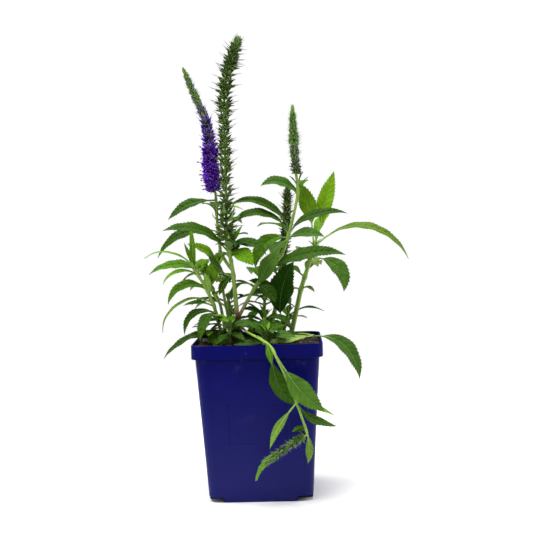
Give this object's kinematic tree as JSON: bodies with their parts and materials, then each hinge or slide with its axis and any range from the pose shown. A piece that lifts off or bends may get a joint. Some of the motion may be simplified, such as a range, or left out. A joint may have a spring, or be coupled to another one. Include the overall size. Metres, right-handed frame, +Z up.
{
  "type": "potted spiked speedwell plant",
  "caption": "Young perennial with upright tapering flower spikes and narrow toothed leaves, growing in a square tapered nursery pot.",
  "frame": {"origin": "middle of the flat underside of the pot, at the surface that it stands on", "axes": "+Z up along the plant's height, -Y towards the side that the hanging shoot falls over, +X to the right of that view"},
  "size_m": [0.2388, 0.1787, 0.4131],
  "materials": {
    "pot": "satin",
    "soil": "matte",
    "old_stem": "matte",
    "green_stem": "satin",
    "foliage": "satin",
    "seed_spike": "matte",
    "flower_spike": "matte",
    "bud_spike": "matte"
  },
  "bodies": {
    "root": {"pot": "pot", "soil": "soil", "crown_stem": "old_stem", "tall_stem": "green_stem", "tall_foliage": "foliage", "tall_spike": "seed_spike", "purple_stem": "green_stem", "purple_foliage": "foliage", "purple_spike": "flower_spike", "right_stem": "green_stem", "right_foliage": "foliage", "right_tip_foliage": "foliage", "right_spike": "bud_spike", "shade_stem": "green_stem", "shade_foliage": "foliage", "middle_stem": "green_stem", "middle_foliage": "foliage", "middle_spike": "seed_spike", "back_right_stem": "green_stem", "back_right_foliage": "foliage", "left_stem": "green_stem", "left_foliage": "foliage", "left_back_stem": "green_stem", "left_back_foliage": "foliage", "inner_stem": "green_stem", "inner_foliage": "foliage", "creeping_stem": "green_stem", "creeping_foliage": "foliage", "hanging_stem": "green_stem", "hanging_foliage": "foliage", "hanging_tip_foliage": "foliage", "hanging_spike": "bud_spike", "low_left_stem": "green_stem", "low_left_foliage": "foliage", "low_front_stem": "green_stem", "low_front_foliage": "foliage", "low_right_stem": "green_stem", "low_right_foliage": "foliage", "low_middle_stem": "green_stem", "low_middle_foliage": "foliage", "low_rim_stem": "green_stem", "low_rim_foliage": "foliage", "back_small_stem": "green_stem", "back_small_foliage": "foliage", "back_left_stem": "green_stem", "back_left_foliage": "foliage", "back_middle_stem": "green_stem", "back_middle_foliage": "foliage"}
  },
  "joints": []
}
